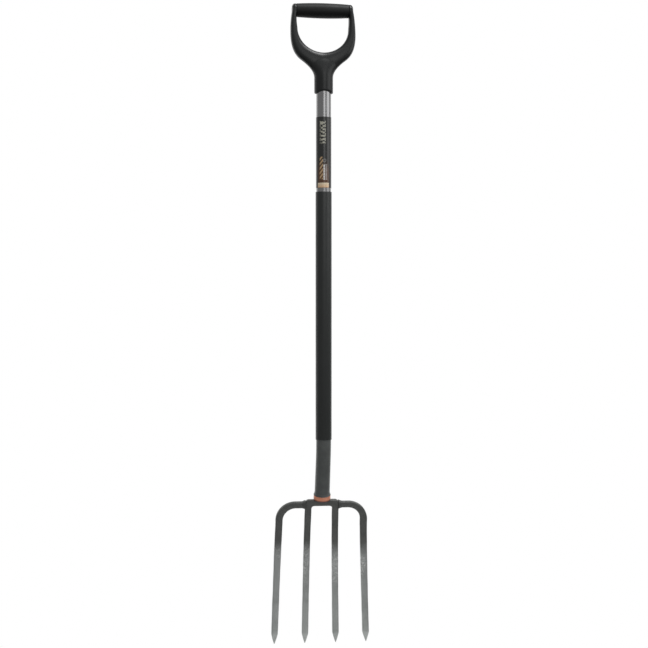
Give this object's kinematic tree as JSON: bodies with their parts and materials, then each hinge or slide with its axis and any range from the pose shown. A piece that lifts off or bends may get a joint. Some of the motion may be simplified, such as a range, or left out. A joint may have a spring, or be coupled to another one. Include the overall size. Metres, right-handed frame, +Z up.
{
  "type": "digging fork",
  "caption": "Long-shafted digging fork with a D-handle grip, a sleeved steel tube shaft and a welded head of slender pointed tines.",
  "frame": {"origin": "the point under the middle of the grip, where the tool hangs on a hook", "axes": "+Z up along the shaft from the tines to the handle, +X across the tines, +Y to the tool's back, away from the hollow side of the tines"},
  "size_m": [0.1896, 0.0762, 1.2228],
  "materials": {
    "handle_plastic": "fine grained black fibre-reinforced plastic",
    "grip_rubber": "matte soft-touch black",
    "sleeve_plastic": "matte charcoal, fine grain",
    "tube_paint": "silver-grey metallic paint, satin",
    "label_film": "glossy printed film, black with pale marks and an orange band",
    "ring_plastic": "satin orange plastic",
    "head_paint": "dark grey coating that gives way to bare grey steel down the tines",
    "bare_steel": "bright steel",
    "weld_steel": "painted weld bead"
  },
  "bodies": {
    "root": {"handle_frame": "handle_plastic", "grip_sleeve": "grip_rubber", "handle_screw": "bare_steel", "shaft_tube": "tube_paint", "label_wrap": "label_film", "shaft_sleeve": "sleeve_plastic", "joint_ring": "ring_plastic", "head_tang": "bare_steel", "inner_tine_bow": "head_paint", "outer_tine_left": "head_paint", "outer_tine_right": "head_paint", "tine_weld_left": "weld_steel", "tine_weld_right": "weld_steel", "tang_weld_front": "weld_steel", "tang_weld_back": "weld_steel"}
  },
  "joints": []
}
